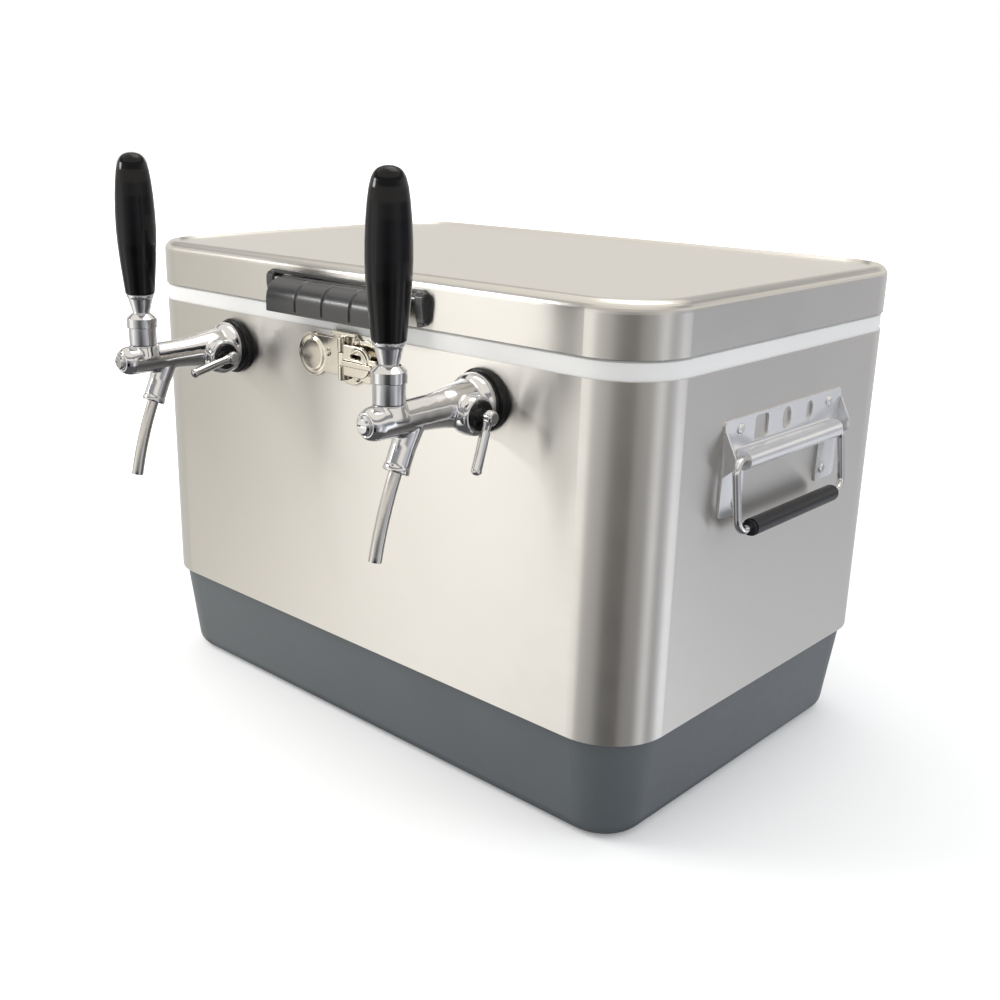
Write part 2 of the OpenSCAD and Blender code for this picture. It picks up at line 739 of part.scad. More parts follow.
module tap_body(x) {
    color("#d9dbde") on_front(x, tap_z) difference() {
        union() {
            rotate_extrude() polygon(concat([[0, flange_h]], barrel_line(), [[0, body_front]]));
            translate([0, -flow_drop, flow_out]) rotate([0, 90, 0]) {
                cylinder(h = flow_end, r = flow_barrel_r);
                cylinder(h = flow_end - 5, r = flow_barrel_r + 0.8);
            }
            translate([0, 2, lever_out]) rotate([-90, 0, 0])
                cylinder(h = bonnet_foot - 2.2, r1 = 14.2, r2 = bonnet_r - 0.4);
            translate([0, 0, boss_start]) rotate([90 - boss_tilt, 0, 0]) {
                cylinder(h = boss_len, r = 9.4);
                cylinder(h = boss_len - 20, r1 = 11.6, r2 = 9.4);
                translate([0, 0, boss_len - 4]) cylinder(h = 4, r = 10);
            }
        }
        translate([0, 0, flange_h - 1]) cylinder(h = 12, r = shank_r + 0.1);
        cylinder(h = 60, r = shank_bore);
        translate([0, 0, 56]) cylinder(h = body_front, r = chamber_r);
        translate([0, 0, body_front - 7]) cylinder(h = 8, r = plug_r + press);
        translate([0, -flow_drop, flow_out]) rotate([0, 90, 0]) {
            translate([0, 0, 8]) cylinder(h = 20, r = 3.5);
            translate([0, 0, flow_end - 6.2]) cylinder(h = 10, r = 6.5);
        }
        translate([-2.9, 2, lever_out - 10.8]) cube([5.8, bonnet_foot - 3.6, 14]);
        translate([0, bonnet_foot - 2.6, lever_out]) rotate([-90, 0, 0]) cylinder(h = 6, r = 8.6);
        translate([0, 0, boss_start]) rotate([90 - boss_tilt, 0, 0]) {
            cylinder(h = boss_len + 1, r = spout_r - 1);
        }
        spout_arc(spout_r + press);
    }
}

module bonnet(x) {
    color("#d9dbde") translate([x, -case_d / 2 - lever_out, tap_z]) difference() {
        intersection() {
            translate([0, 0, pivot_up]) sphere(dome_r);
            translate([0, 0, bonnet_foot]) cylinder(h = 30, r = bonnet_r);
        }
        translate([0, 0, pivot_up]) sphere(ball_r + fit);
        translate([-2.8, -10.2, pivot_up]) cube([5.6, 13.3, 20]);
        translate([-2.8, -3, bonnet_foot - 1]) cube([5.6, 10.4, pivot_up - bonnet_foot + 1]);
    }
}

module tap_lever(x) {
    color("#d9dbde") translate([x, -case_d / 2 - lever_out, tap_z]) union() {
        translate([0, 0, pivot_up]) sphere(ball_r);
        sphere(foot_r);
        cylinder(h = cup_high, r = stem_r);
        difference() {
            union() {
                translate([0, 0, cup_low]) cylinder(h = cup_high - cup_low, r = collar_r);
                translate([0, 0, cup_high]) cylinder(h = neck_top - cup_high, r1 = collar_r, r2 = 8.6);
            }
            translate([0, 0, pivot_up]) sphere(dome_r + gap);
        }
        cylinder(h = neck_top + 7, r = stem_r);
        translate([0, 0, neck_top - 1]) cylinder(h = 8, r = stud_r);
    }
}

module ferrule(x) {
    color("#d9dbde") translate([x, -case_d / 2 - lever_out, tap_z + neck_top]) difference() {
        union() {
            cylinder(h = ferrule_h - 2.4, r1 = 7, r2 = 10.8);
            translate([0, 0, ferrule_h - 2.4]) cylinder(h = 2.4, r = 11.4);
        }
        translate([0, 0, -1]) cylinder(h = 8.2, r = stud_r + press);
    }
}

handle_line = [[0, 12.3], [0.1, 13.5], [0.22, 14.9], [0.36, 16.1], [0.47, 16.6], [0.58, 16.5], [0.7, 15.8],
    [0.8, 14.8], [0.88, 13.5], [0.935, 11.8], [0.965, 9.9], [0.985, 7.3], [0.996, 3.8]];

module tap_handle(x) {
    color("#0c0c0d") translate([x, -case_d / 2 - lever_out, tap_z + neck_top + ferrule_h])
        rotate_extrude()
            polygon(concat([[0, 0]], [for (p = handle_line) [p[1], p[0] * handle_len]], [[0, handle_len]]));
}

module piston(x) {
    color("#c9cbce") on_front(x, tap_z) difference() {
        translate([0, 0, lever_out - 22]) cylinder(h = 34, r = piston_r + fit / 2);
        translate([-4, -4.6, lever_out - 5.2]) cube([8, 12, 10.4]);
    }
}

module spout_arc(r) {
    translate([0, -boss_len * cos(boss_tilt), boss_start + boss_len * sin(boss_tilt)])
        rotate([-boss_tilt, 0, 0]) translate([0, 0, -spout_bow]) rotate([180, -90, 0])
            rotate([0, 0, -spout_seat]) rotate_extrude(angle = spout_turn + spout_seat, $fn = 600)
            translate([spout_bow, 0]) circle(r, $fn = 48);
}

module spout(x) {
    color("#b9bab8") on_front(x, tap_z) difference() {
        spout_arc(spout_r);
        spout_arc(spout_r - 0.8);
    }
}

module flow_gland(x) {
    color("#26272a") on_front(x, tap_z - flow_drop) translate([0, 0, flow_out]) rotate([0, 90, 0])
    difference() {
        union() {
            translate([0, 0, flow_end - 6]) cylinder(h = 6.1, r = 6.4);
            translate([0, 0, flow_end]) cylinder(h = flow_gland_h - 1, r = flow_gland_r);
            translate([0, 0, flow_end + flow_gland_h - 1])
                cylinder(h = 1, r1 = flow_gland_r, r2 = flow_gland_r - 1);
        }
        cylinder(h = 40, r = 3 + fit);
    }
}

module fluted(r, n) {
    polygon([for (i = [0:2 * n - 1]) (i % 2 == 0 ? r : r * 0.84) * [cos(180 * i / n), sin(180 * i / n)]]);
}

module flow_lever(x, swing) {
    color("#d9dbde") on_front(x, tap_z - flow_drop) translate([0, 0, flow_out]) {
        rotate([0, 90, 0]) {
            translate([0, 0, flow_end - 6]) cylinder(h = 8 + flow_gland_h, r = 3);
            translate([0, 0, flow_hub]) cylinder(h = 9.6, r = 5.6);
            translate([0, 0, flow_hub + 9.6]) cylinder(h = 1.6, r1 = 5.6, r2 = 4);
        }
        translate([flow_arm_x, 0, 0]) rotate([90 - swing, 0, 0]) {
            cylinder(h = 11, r1 = 4.6, r2 = 3);
            translate([0, 0, 10.5]) linear_extrude(flow_arm_len - 14) fluted(flow_arm_r, 10);
            translate([0, 0, flow_arm_len - 4.1]) cylinder(h = 2.2, r = flow_arm_r + 0.2);
            translate([0, 0, flow_arm_len - 1.9]) cylinder(h = 1.9, r1 = flow_arm_r + 0.2, r2 = 2);
        }
    }
}

module tap_body_right() { tap_body(tap_x); }
module bonnet_right() { bonnet(tap_x); }
module flow_gland_right() { flow_gland(tap_x); }
module flow_lever_right() { flow_lever(tap_x, flow_rest_r); }
module tap_lever_right() { tap_lever(tap_x); }
module ferrule_right() { ferrule(tap_x); }
module tap_handle_right() { tap_handle(tap_x); }
module piston_right() { piston(tap_x); }
module spout_right() { spout(tap_x); }
module tap_body_left() { tap_body(-tap_x); }
module bonnet_left() { bonnet(-tap_x); }
module flow_gland_left() { flow_gland(-tap_x); }
module flow_lever_left() { flow_lever(-tap_x, flow_rest_l); }
module tap_lever_left() { tap_lever(-tap_x); }
module ferrule_left() { ferrule(-tap_x); }
module tap_handle_left() { tap_handle(-tap_x); }
module piston_left() { piston(-tap_x); }
module spout_left() { spout(-tap_x); }

// ---- carrying handles ----
module plate_outline() {
    difference() {
        translate([0, (plate_top + plate_low) / 2]) round_slot(plate_w, plate_top - plate_low, 5);
        translate([0, (sleeve_z + plate_low) / 2 - 3]) round_slot(2 * leg_in, sleeve_z - plate_low + 8, 3);
        translate([-38.5, window_z]) round_slot(20, 19, 3);
        translate([0.5, window_z]) round_slot(13, 18, 6.4);
        translate([37.7, window_z]) round_slot(10, 16, 4.9);
    }
}

module handle_plate(s) {
    color("#bfc0c0") on_side(s) difference() {
        union() {
            rotate([90, 0, 90]) linear_extrude(plate_t) plate_outline();
            translate([0, 0, sleeve_z]) translate([sleeve_x, 0, 0]) rotate([90, 0, 0])
                cylinder(h = 2 * sleeve_half, r = sleeve_r, center = true);
            translate([0, -sleeve_half, sleeve_z]) cube([sleeve_x, 2 * sleeve_half, sleeve_r]);
            for (y = [-1, 1]) translate([0, y * (plate_w / 2 - 0.75), 0]) rotate([90, 0, 0])
                translate([0, 0, -0.75]) linear_extrude(1.5)
                polygon([[0, sleeve_z + 25], [2.6, sleeve_z + 23], [12, sleeve_z + 5], [12, sleeve_z - 3],
                    [2.6, sleeve_z - 11], [0, sleeve_z - 13]]);
        }
        translate([sleeve_x, 0, sleeve_z]) rotate([90, 0, 0]) {
            cylinder(h = 2 * sleeve_half - 5, r = sleeve_r - 1.5, center = true);
            cylinder(h = 2 * sleeve_half + 4, r = bail_r + fit, center = true);
        }
        for (y = [-1, 1], z = handle_screw_z) translate([-1, y * handle_screw_y, z]) rotate([0, 90, 0])
            cylinder(h = 4, r = handle_screw_r + press);
    }
}

module bail_corner(y, z, a) {
    translate([0, y, z]) rotate([90, 0, 90]) rotate([0, 0, a]) rotate_extrude(angle = 90)
        translate([bail_bend, 0]) circle(bail_r);
}

module bail(s) {
    flat = bail_half - bail_bend;
    drop = bail_drop - 2 * bail_bend;
    color("#c6c7c8") on_side(s) translate([sleeve_x, 0, sleeve_z]) rotate([0, -bail_rest, 0]) union() {
        rotate([90, 0, 0]) cylinder(h = 2 * flat, r = bail_r, center = true);
        translate([0, 0, -bail_drop]) rotate([90, 0, 0]) cylinder(h = 2 * flat, r = bail_r, center = true);
        for (y = [-1, 1]) translate([0, y * bail_half, -bail_bend - drop]) cylinder(h = drop, r = bail_r);
        bail_corner(flat, -bail_bend, 0);
        bail_corner(-flat, -bail_bend, 90);
        bail_corner(-flat, -bail_bend - drop, 180);
        bail_corner(flat, -bail_bend - drop, 270);
    }
}

module grip(s) {
    flat = bail_half - bail_bend;
    color("#15171c") on_side(s) translate([sleeve_x, 0, sleeve_z]) rotate([0, -bail_rest, 0])
        translate([0, 0, -bail_drop]) rotate([90, 0, 0]) difference() {
            union() {
                cylinder(h = 2 * flat - 13, r = grip_r - 0.8, center = true);
                cylinder(h = 2 * flat - 18, r = grip_r, center = true);
            }
            cylinder(h = 2 * flat + 2, r = bail_r + press, center = true);
        }
}

module handle_plate_right() { handle_plate(1); }
module bail_right() { bail(1); }
module grip_right() { grip(1); }
module handle_plate_left() { handle_plate(-1); }
module bail_left() { bail(-1); }
module grip_left() { grip(-1); }

module handle_screws() {
    color("#c6c7c8") each_handle_screw() pan_screw(plate_t, 4.6, handle_screw_r, 12);
}

// ---- drain ----
module drain_spout() {
    color("#f2f3ee") translate([-case_w / 2, 0, drain_z]) rotate([0, 90, 0]) difference() {
        union() {
            translate([0, 0, -11]) cylinder(h = 11 + wall + drain_in, r = drain_r);
            translate([0, 0, drain_pad - 4.5]) cylinder(h = 3, r = 16);
        }
        translate([0, 0, -12]) cylinder(h = wall + 28, r = drain_r - 2.2);
    }
}

module drain_gasket() {
    color("#1b1b1c") translate([-case_w / 2, 0, drain_z]) rotate([0, 90, 0]) difference() {
        translate([0, 0, drain_pad - 1.5]) cylinder(h = 1.5, r = 15);
        translate([0, 0, -2]) cylinder(h = 10, r = drain_r + 0.1);
    }
}

module drain_plug() {
    color("#f2f3ee") translate([-case_w / 2, 0, drain_z]) rotate([0, 90, 0]) difference() {
        union() {
            translate([0, 0, -13.5]) cylinder(h = 12.7, r = 13);
            for (k = [0:17]) rotate([0, 0, 20 * k]) translate([12.4, -0.9, -13.5]) cube([1.5, 1.8, 12.7]);
        }
        translate([0, 0, -11.3]) cylinder(h = 12, r = drain_r + gap);
    }
}

// ---- cooling coils and hoses ----
coil_in_a = atan2(coil_in_y, tap_side);
coil_out_a = atan2(-coil_out_y, tap_side) + 360;
coil_sweep = coil_out_a - 14 - (coil_in_a + 40) + 360 * coil_turns;
coil_steps = round(coil_sweep / 18);
coil_high = coil_low + coil_pitch * coil_sweep / 360;
function polar(r, a, z) = [r * cos(a), r * sin(a), z];
function unit(v) = v / norm(v);
coil_end_r = coil_r + inlet_gap;
coil_path = concat(
    [polar(coil_end_r, coil_in_a, riser_top), polar(coil_end_r, coil_in_a, coil_low + 24),
    polar(coil_end_r, coil_in_a + 1, coil_low + 13), polar(coil_end_r - 0.6, coil_in_a + 4, coil_low + 5),
    polar(coil_end_r - 2.5, coil_in_a + 11, coil_low + 0.6), polar(coil_r + 6, coil_in_a + 21, coil_low),
    polar(coil_r + 1.6, coil_in_a + 31, coil_low)],
    [for (i = [0:coil_steps]) polar(coil_r, coil_in_a + 40 + coil_sweep * i / coil_steps,
        coil_low + (coil_high - coil_low) * i / coil_steps)],
    [polar(coil_r, coil_out_a - 7, coil_high + 2.2), polar(coil_r, coil_out_a - 2, coil_high + 8),
    polar(coil_r, coil_out_a, coil_high + 17), polar(coil_r, coil_out_a, riser_top)]);
coil_n = len(coil_path);
coil_sides = 8;

function coil_ring(i) =
    let (p = coil_path[i],
        t = unit(coil_path[min(i + 1, coil_n - 1)] - coil_path[max(i - 1, 0)]),
        out = unit([p[0], p[1], 0]),
        n = unit(out - (out * t) * t),
        b = cross(t, n))
    [for (k = [0:coil_sides - 1]) let (a = 360 * k / coil_sides) p + tube_r * (cos(a) * n + sin(a) * b)];

module coil(s) {
    pts = [for (i = [0:coil_n - 1]) each coil_ring(i)];
    world = [for (p = pts) [s * (p[0] + coil_x), p[1], p[2]]];
    last = (coil_n - 1) * coil_sides;
    skin = [for (i = [0:coil_n - 2], k = [0:coil_sides - 1])
        let (a = i * coil_sides, b = a + coil_sides, next = (k + 1) % coil_sides)
            [a + k, b + k, b + next, a + next]];
    ends = [[for (k = [0:coil_sides - 1]) k], [for (k = [0:coil_sides - 1]) last + coil_sides - 1 - k]];
    all = concat(skin, ends);
    faces = s > 0 ? all : [for (f = all) [for (j = [0:len(f) - 1]) f[len(f) - 1 - j]]];
    color("#c4c5c4") polyhedron(points = world, faces = faces, convexity = 10);
}

module coil_right() { coil(1); }
module coil_left() { coil(-1); }

// a hose from a barb on a wall, down over a coil end; y grows towards that wall
module hose_solid(r, riser, bend, tip) {
    translate([0, riser, riser_low - tip]) cylinder(h = tap_z - bend - riser_low + tip, r = r);
    translate([0, riser + bend, tap_z - bend]) rotate([90, 0, -90])
        rotate_extrude(angle = 90) translate([bend, 0]) circle(r);
    translate([0, riser + bend, tap_z]) rotate([-90, 0, 0]) cylinder(h = 16 + tip, r = r);
}

module hose(riser, bend) {
    difference() {
        hose_solid(hose_r, riser, bend, 0);
        hose_solid(hose_bore, riser, bend, 1);
    }
}

module tap_hoses() {
    color("#dfe3e0") for (x = [-1, 1]) translate([x * tap_x, 0, 0]) rotate([0, 0, 180])
        hose(coil_out_y, tap_bend);
}

module inlet_hoses() {
    color("#dfe3e0") for (x = [-1, 1]) translate([x * tap_x, 0, 0]) hose(coil_in_y, inlet_bend);
}

module clamp() {
    difference() {
        union() {
            cylinder(h = 7, r = hose_r + 0.9);
            translate([hose_r - 1, -2.6, 0.6]) cube([5.6, 5.2, 5.8]);
        }
        translate([0, 0, -1]) cylinder(h = 9, r = hose_r + press);
    }
}

module clamp_pair(riser, bend) {
    translate([0, riser, riser_low + 4]) clamp();
    translate([0, riser + bend + 5, tap_z]) rotate([-90, 0, 0]) clamp();
}

module hose_clamps() {
    color("#c9cbce") for (x = [-1, 1]) translate([x * tap_x, 0, 0]) {
        clamp_pair(coil_in_y, inlet_bend);
        rotate([0, 0, 180]) clamp_pair(coil_out_y, tap_bend);
    }
}

module inlet_shanks() {
    color("#d5d7da") for (x = [-1, 1]) on_back(x * tap_x, tap_z) difference() {
        union() {
            translate([0, 0, -shank_in]) cylinder(h = shank_in + 14, r = shank_r);
            cylinder(h = 3, r = 16);
            translate([0, 0, 3]) cylinder(h = 6, r = 14 / cos(30), $fn = 6);
            translate([0, 0, 9]) cylinder(h = 15, r = 11.45);
        }
        translate([0, 0, -shank_in - 1]) cylinder(h = shank_in + 40, r = shank_bore);
        translate([0, 0, 21]) cylinder(h = 4, r1 = shank_bore, r2 = 7.5);
    }
}

base_tub();
outer_shell();
inner_liner();
case_foam();
lid_shell();
lid_liner();
lid_foam();
hinge_body_leaves();
hinge_lid_leaves();
hinge_pins();
hinge_body_screws();
hinge_lid_screws();
latch_frame();
latch_handle();
latch_pin();
catch_base();
catch_lever();
catch_pin();
catch_rivets();
tap_shanks();
wall_flanges();
shank_nuts();
tail_barbs();
front_plugs();
tap_body_right();
bonnet_right();
flow_gland_right();
flow_lever_right();
tap_lever_right();
ferrule_right();
tap_handle_right();
piston_right();
spout_right();
tap_body_left();
bonnet_left();
flow_gland_left();
flow_lever_left();
tap_lever_left();
ferrule_left();
tap_handle_left();
piston_left();
spout_left();
handle_plate_right();
bail_right();
grip_right();
handle_plate_left();
bail_left();
grip_left();
handle_screws();
drain_spout();
drain_gasket();
drain_plug();
coil_right();
coil_left();
tap_hoses();
inlet_hoses();
hose_clamps();
inlet_shanks();
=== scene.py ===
import math
import bpy
from mathutils import Matrix, Vector


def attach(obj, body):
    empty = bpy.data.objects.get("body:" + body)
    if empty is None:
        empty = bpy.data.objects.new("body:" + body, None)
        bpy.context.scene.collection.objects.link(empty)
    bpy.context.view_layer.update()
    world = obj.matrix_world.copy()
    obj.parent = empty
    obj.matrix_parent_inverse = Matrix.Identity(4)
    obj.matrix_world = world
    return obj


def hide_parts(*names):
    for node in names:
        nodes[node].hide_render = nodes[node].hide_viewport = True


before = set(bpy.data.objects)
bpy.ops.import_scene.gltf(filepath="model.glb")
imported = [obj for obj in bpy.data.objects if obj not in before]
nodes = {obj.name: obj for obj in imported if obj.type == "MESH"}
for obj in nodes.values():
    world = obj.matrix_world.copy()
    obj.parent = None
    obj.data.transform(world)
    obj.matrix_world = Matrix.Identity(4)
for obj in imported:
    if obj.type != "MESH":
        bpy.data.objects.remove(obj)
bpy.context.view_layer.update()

scene = bpy.context.scene
scene.view_settings.view_transform = "Standard"
bpy.ops.object.select_all(action="DESELECT")

# camera: angles in degrees, azimuth round from the front; lengths in metres, lens and sensor in mm
camera = {"azimuth": 43.58, "height": 17.57, "roll": 0.81, "distance": 1.24026,
          "target": (-0.06665, -0.00122, 0.16806), "lens": 43.035, "sensor": 36, "shift": 0.0501,
          "reach": 50}


def placeCamera(values):
    az = math.radians(values["azimuth"])
    el = math.radians(values["height"])
    back = Vector((math.sin(az) * math.cos(el), -math.cos(az) * math.cos(el), math.sin(el)))
    bpy.ops.object.camera_add(location=Vector(values["target"]) + back * values["distance"])
    cam = bpy.context.object
    turn = back.to_track_quat("Z", "Y").to_matrix()
    cam.rotation_euler = (turn @ Matrix.Rotation(math.radians(values["roll"]), 3, "Z")).to_euler()
    cam.data.lens = values["lens"]
    cam.data.sensor_width = values["sensor"]
    cam.data.shift_x = values["shift"]
    cam.data.clip_end = values["reach"]
    scene.camera = cam


placeCamera(camera)
print("camera placed")

# studio: a paper floor that glows away from the object, and walls that only reflections and soft light see
studio = {"floorSize": 24, "floorColor": (0.86, 0.86, 0.86, 1), "floorRough": 0.9, "floorGlow": 0.2,
          "farGlow": 0.75, "glowFrom": 0.5, "glowTo": 1.6, "skyLight": 1.0, "backdrop": (1, 1, 1),
          "ceiling": (0.92, 0.87, 0.80), "ceilingGap": (0.30, 0.30, 0.31), "underside": (0.10, 0.10, 0.105),
          "softCeiling": (0.9, 0.9, 0.9)}
# how far up each tone gives way to the next: -1 is straight down, 0 level and 1 straight up
bands = {"upper": (-0.26, -0.13), "lower": (-0.27, -0.37), "underside": (-0.52, -0.7),
         "ceiling": (0.04, 0.2), "gapStart": (0.34, 0.40), "gapEnd": (0.56, 0.64), "softCeiling": (0.2, 0.8)}
# tones of the studio walls by compass direction: degrees round from the front, clockwise seen from above
# a metal face sees "upper" just under eye level, "lower" near the floor; soft light uses "soft"
wallTones = {
    "upper": [(-180, (0.66, 0.66, 0.66)), (-110, (0.70, 0.70, 0.69)), (-62, (0.62, 0.60, 0.55)),
              (-52, (0.62, 0.59, 0.54)), (-46, (1.08, 1.05, 1.00)), (-28, (1.05, 1.03, 0.99)),
              (-18, (1.24, 1.22, 1.18)), (-10, (0.78, 0.77, 0.76)), (14, (0.40, 0.40, 0.40)),
              (34, (0.16, 0.16, 0.16)), (48, (0.15, 0.15, 0.155)), (62, (0.30, 0.30, 0.31)),
              (84, (0.56, 0.56, 0.59)), (97, (0.60, 0.61, 0.64)), (118, (0.28, 0.29, 0.33)),
              (150, (0.27, 0.28, 0.32)), (158, (0.50, 0.50, 0.53)), (180, (0.62, 0.62, 0.63))],
    "middle": [(-180, (0.62, 0.62, 0.63)), (-110, (0.70, 0.70, 0.69)), (-60, (0.35, 0.345, 0.30)),
               (-53, (0.43, 0.42, 0.38)), (-47, (1.08, 1.04, 0.98)), (-28, (1.36, 1.32, 1.26)),
               (-17, (0.50, 0.49, 0.48)), (8, (0.36, 0.35, 0.35)), (21, (0.04, 0.04, 0.04)),
               (28, (0.0, 0.0, 0.0)), (50, (0.0, 0.0, 0.0)), (60, (0.24, 0.23, 0.23)),
               (80, (0.22, 0.22, 0.22)), (96, (1.02, 1.02, 1.04)), (110, (0.34, 0.34, 0.35)),
               (122, (0.66, 0.66, 0.70)), (131, (1.2, 1.22, 1.28)), (141, (1.35, 1.37, 1.43)),
               (147, (0.52, 0.53, 0.56)), (153, (0.58, 0.585, 0.61)), (180, (0.52, 0.52, 0.54))],
    "lower": [(-180, (0.62, 0.62, 0.63)), (-110, (0.70, 0.70, 0.69)), (-60, (0.88, 0.84, 0.77)),
              (-53, (0.98, 0.94, 0.88)), (-45, (1.36, 1.32, 1.25)), (-28, (1.36, 1.32, 1.26)),
              (-17, (0.50, 0.49, 0.48)), (8, (0.36, 0.35, 0.35)), (21, (0.04, 0.04, 0.04)),
              (28, (0.0, 0.0, 0.0)), (50, (0.0, 0.0, 0.0)), (60, (0.22, 0.21, 0.21)),
              (80, (0.24, 0.24, 0.24)), (96, (1.02, 1.02, 1.04)), (110, (0.36, 0.36, 0.37)),
              (122, (0.70, 0.70, 0.74)), (131, (1.3, 1.32, 1.38)), (141, (1.45, 1.47, 1.53)),
              (147, (0.66, 0.67, 0.70)), (155, (0.72, 0.73, 0.76)), (180, (0.55, 0.55, 0.56))],
    "soft": [(-180, (0.80, 0.80, 0.80)), (-110, (1.0, 0.99, 0.97)), (-40, (0.98, 0.97, 0.95)),
             (-10, (0.50, 0.50, 0.50)), (20, (0.10, 0.10, 0.11)), (70, (0.10, 0.11, 0.13)),
             (105, (0.58, 0.62, 0.70)), (150, (0.66, 0.69, 0.75)), (180, (0.80, 0.80, 0.80))],
}
# lamps: size in metres, power in watts; shows says whether metal mirrors the lamp
lamps = {
    "keyLamp": {"place": (-2.0, -1.4, 2.1), "aim": (0, -0.1, 0.2), "size": (1.4, 1.4), "power": 38,
                "color": (1, 0.985, 0.96), "shows": False},
    "fillLamp": {"place": (2.0, 0.8, 1.5), "aim": (0.1, 0, 0.25), "size": (1.2, 1.6), "power": 6.5,
                 "color": (0.86, 0.93, 1), "shows": False},
    "topLamp": {"place": (0.0, 0.5, 2.6), "aim": (0, 0, 0.3), "size": (1.8, 1.4), "power": 13,
                "color": (1, 1, 1), "shows": True},
    "stripLamp": {"place": (-0.99, -1.22, 0.92), "aim": (0, -0.22, 0.41), "size": (0.5, 0.14), "power": 3,
                  "color": (1, 1, 1), "shows": True},
}


def addNode(tree, kind, **props):
    made = tree.nodes.new(kind)
    for key, value in props.items():
        setattr(made, key, value)
    return made


def wire(tree, *pairs):
    for a, b in pairs:
        tree.links.new(a, b)


def math2(tree, operation, a, b=None):
    made = addNode(tree, "ShaderNodeMath", operation=operation)
    for slot, value in zip(made.inputs, (a, b)):
        if value is None:
            continue
        if isinstance(value, (int, float)):
            slot.default_value = value
        else:
            tree.links.new(value, slot)
    return made.outputs[0]


def mixColor(tree, factor, a, b):
    made = addNode(tree, "ShaderNodeMix", data_type="RGBA")
    for index, value in ((0, factor), (6, a), (7, b)):
        if isinstance(value, (int, float)):
            made.inputs[index].default_value = value
        elif isinstance(value, (tuple, list)):
            made.inputs[index].default_value = tuple(value)[:3] + (1,)
        else:
            tree.links.new(value, made.inputs[index])
    return made.outputs[2]


def rangeOf(tree, value, low, high):  # 0 at low, 1 at high, eased between
    made = addNode(tree, "ShaderNodeMapRange", interpolation_type="SMOOTHSTEP")
    made.inputs["From Min"].default_value = low
    made.inputs["From Max"].default_value = high
    tree.links.new(value, made.inputs["Value"])
    return made.outputs[0]


def toneRamp(tree, turn, tones):
    ramp = addNode(tree, "ShaderNodeValToRGB")
    stops = ramp.color_ramp.elements
    while len(stops) > 1:
        stops.remove(stops[0])
    for index, (degrees, tone) in enumerate(tones):
        stop = stops[0] if index == 0 else stops.new(degrees / 360 + 0.5)
        stop.position = degrees / 360 + 0.5
        stop.color = tone + (1,)
    tree.links.new(turn, ramp.inputs[0])
    return ramp.outputs[0]


def buildWorld():
    world = bpy.data.worlds.new("studioWalls")
    scene.world = world
    world.use_nodes = True
    tree = world.node_tree
    background = tree.nodes["Background"]
    coord = addNode(tree, "ShaderNodeTexCoord")
    split = addNode(tree, "ShaderNodeSeparateXYZ")
    wire(tree, (coord.outputs["Generated"], split.inputs[0]))
    rise = split.outputs[2]
    angle = math2(tree, "ARCTAN2", split.outputs[0], math2(tree, "MULTIPLY", split.outputs[1], -1.0))
    turn = math2(tree, "ADD", math2(tree, "DIVIDE", angle, 2 * math.pi), 0.5)
    ramps = {level: toneRamp(tree, turn, tones) for level, tones in wallTones.items()}
    shares = {level: rangeOf(tree, rise, *band) for level, band in bands.items()}
    walls = mixColor(tree, shares["upper"], ramps["middle"], ramps["upper"])
    walls = mixColor(tree, shares["lower"], walls, ramps["lower"])
    walls = mixColor(tree, shares["underside"], walls, studio["underside"])
    ceiling = mixColor(tree, shares["gapStart"], studio["ceiling"], studio["ceilingGap"])
    ceiling = mixColor(tree, shares["gapEnd"], ceiling, studio["ceiling"])
    walls = mixColor(tree, shares["ceiling"], walls, ceiling)
    soft = mixColor(tree, shares["softCeiling"], ramps["soft"], studio["softCeiling"])
    path = addNode(tree, "ShaderNodeLightPath")
    lit = mixColor(tree, path.outputs["Is Glossy Ray"], soft, walls)
    seen = mixColor(tree, path.outputs["Is Camera Ray"], lit, studio["backdrop"])
    wire(tree, (seen, background.inputs["Color"]))
    background.inputs["Strength"].default_value = studio["skyLight"]


def addLamp(name, values):
    bpy.ops.object.light_add(type="AREA", location=values["place"])
    lamp = bpy.context.object
    lamp.name = name
    lamp.data.shape = "RECTANGLE"
    lamp.data.size, lamp.data.size_y = values["size"]
    lamp.data.energy = values["power"]
    lamp.data.color = values["color"]
    lamp.visible_glossy = values["shows"]
    away = Vector(values["place"]) - Vector(values["aim"])
    lamp.rotation_euler = away.to_track_quat("Z", "Y").to_euler()


def buildFloor():
    bpy.ops.mesh.primitive_plane_add(size=studio["floorSize"], location=(0, 0, 0))
    floor = bpy.context.object
    floor.name = "studioFloor"
    floor.visible_glossy = False
    mat = bpy.data.materials.new("paperFloor")
    mat.use_nodes = True
    tree = mat.node_tree
    shader = tree.nodes["Principled BSDF"]
    shader.inputs["Base Color"].default_value = studio["floorColor"]
    shader.inputs["Roughness"].default_value = studio["floorRough"]
    shader.inputs["Specular IOR Level"].default_value = 0.0
    path = addNode(tree, "ShaderNodeLightPath")
    coord = addNode(tree, "ShaderNodeTexCoord")
    away = addNode(tree, "ShaderNodeVectorMath", operation="LENGTH")
    wire(tree, (coord.outputs["Object"], away.inputs[0]))
    far = rangeOf(tree, away.outputs["Value"], studio["glowFrom"], studio["glowTo"])
    glow = math2(tree, "ADD", studio["floorGlow"], math2(tree, "MULTIPLY", far, studio["farGlow"]))
    seenGlow = math2(tree, "MULTIPLY", path.outputs["Is Camera Ray"], glow)
    shader.inputs["Emission Color"].default_value = (1, 1, 1, 1)
    wire(tree, (seenGlow, shader.inputs["Emission Strength"]))
    floor.data.materials.append(mat)


buildWorld()
buildFloor()
for name, values in lamps.items():
    addLamp(name, values)
print("studio ready")

